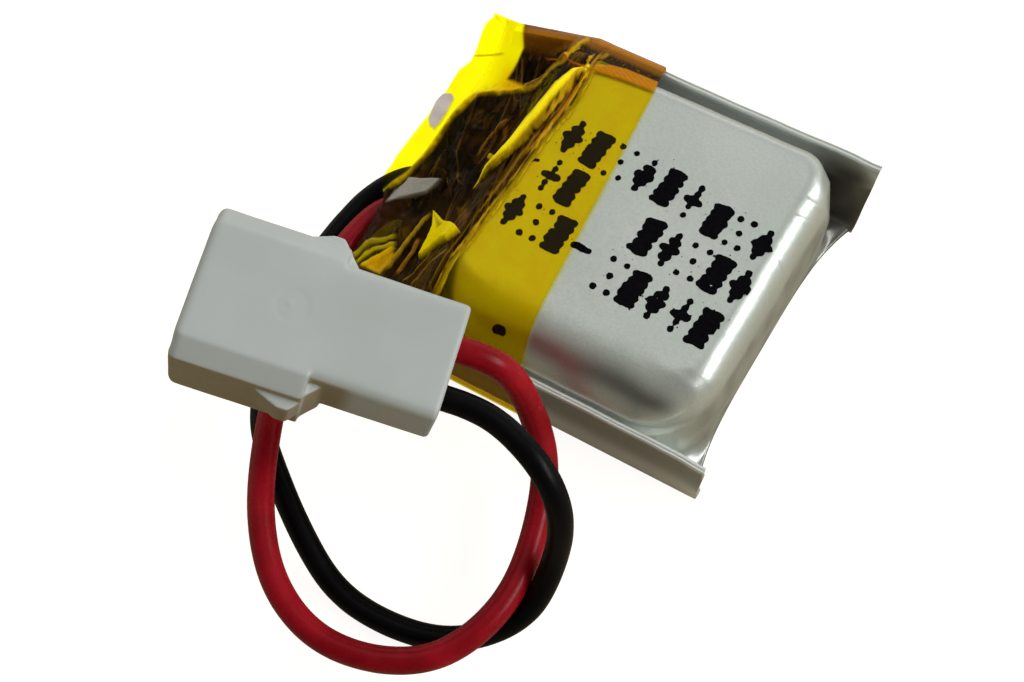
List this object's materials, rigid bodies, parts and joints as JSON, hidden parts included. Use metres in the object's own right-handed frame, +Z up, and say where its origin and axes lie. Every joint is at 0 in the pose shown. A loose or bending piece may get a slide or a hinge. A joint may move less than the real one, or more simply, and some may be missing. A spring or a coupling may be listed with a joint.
{
  "type": "lithium polymer battery pack",
  "caption": "Small single-cell pouch battery with folded side seals, amber tape over a protection board, two looped insulated leads and a white two-way plug.",
  "frame": {"origin": "centre of the pouch's flat back", "axes": "+Z up through the drawn cup, +X from the terminal end to the folded end, +Y towards the side whose seal leans out"},
  "size_m": [0.0208, 0.0283, 0.0134],
  "materials": {
    "laminate": "satin",
    "copper_foil": "matte",
    "cathode_foil": "matte",
    "separator": "satin",
    "green_tape": "satin",
    "aluminium_tab": "satin",
    "nickel": "satin",
    "tab_film": "satin",
    "board": "satin",
    "chip": "matte",
    "ceramic": "satin",
    "solder": "bright",
    "fibre_strip": "matte",
    "polyimide": "glossy, crinkled, translucent",
    "red_insulation": "satin",
    "black_insulation": "satin",
    "tinned_copper": "satin",
    "nylon": "satin"
  },
  "bodies": {
    "cell": {"pouch_front": "laminate", "pouch_back": "laminate", "anode_foil": "copper_foil", "cathode_foil": "cathode_foil", "separator_inner": "separator", "separator_outer": "separator", "roll_closing_tape": "green_tape", "positive_tab": "aluminium_tab", "negative_tab": "nickel", "positive_weld_pad": "nickel", "negative_weld_pad": "nickel", "positive_tab_film": "tab_film", "negative_tab_film": "tab_film", "protection_board": "board", "protection_ic": "chip", "dual_mosfet": "chip", "supply_resistor": "chip", "filter_capacitor": "ceramic", "red_solder_joint": "solder", "black_solder_joint": "solder", "board_insulating_strip": "fibre_strip", "tape_wrap": "polyimide", "tape_end_strip": "polyimide", "red_insulation_tail": "red_insulation", "black_insulation_tail": "black_insulation", "red_conductor_tail": "tinned_copper", "black_conductor_tail": "tinned_copper"},
    "leads_inner": {"red_insulation_inner": "red_insulation", "black_insulation_inner": "black_insulation", "red_conductor_inner": "tinned_copper", "black_conductor_inner": "tinned_copper"},
    "leads_outer": {"red_insulation_outer": "red_insulation", "black_insulation_outer": "black_insulation", "red_conductor_outer": "tinned_copper", "black_conductor_outer": "tinned_copper"},
    "plug": {"red_insulation_plug_end": "red_insulation", "black_insulation_plug_end": "black_insulation", "red_conductor_plug_end": "tinned_copper", "black_conductor_plug_end": "tinned_copper", "positive_crimp_contact": "tinned_copper", "negative_crimp_contact": "tinned_copper", "plug_housing": "nylon"}
  },
  "joints": [
    {"name": "lead_swing", "type": "hinge", "parent": "cell", "child": "leads_inner", "pos_m": [-0.0102, -0.00175, 0.0014], "axis": [0, 0, 1], "range_deg": [-40, 0], "stiffness_Nm_per_rad": 0.002},
    {"name": "loop_flex", "type": "hinge", "parent": "leads_inner", "child": "leads_outer", "pos_m": [0.0005, -0.01845, 0.00125], "axis": [0, 0, 1], "range_deg": [-20, 20], "stiffness_Nm_per_rad": 0.002},
    {"name": "plug_tilt", "type": "hinge", "parent": "leads_outer", "child": "plug", "pos_m": [0.00054, -0.00915, 0.00818], "axis": [-0.2561, 0.9661, 0.033], "range_deg": [-15, 35], "stiffness_Nm_per_rad": 0.001}
  ]
}
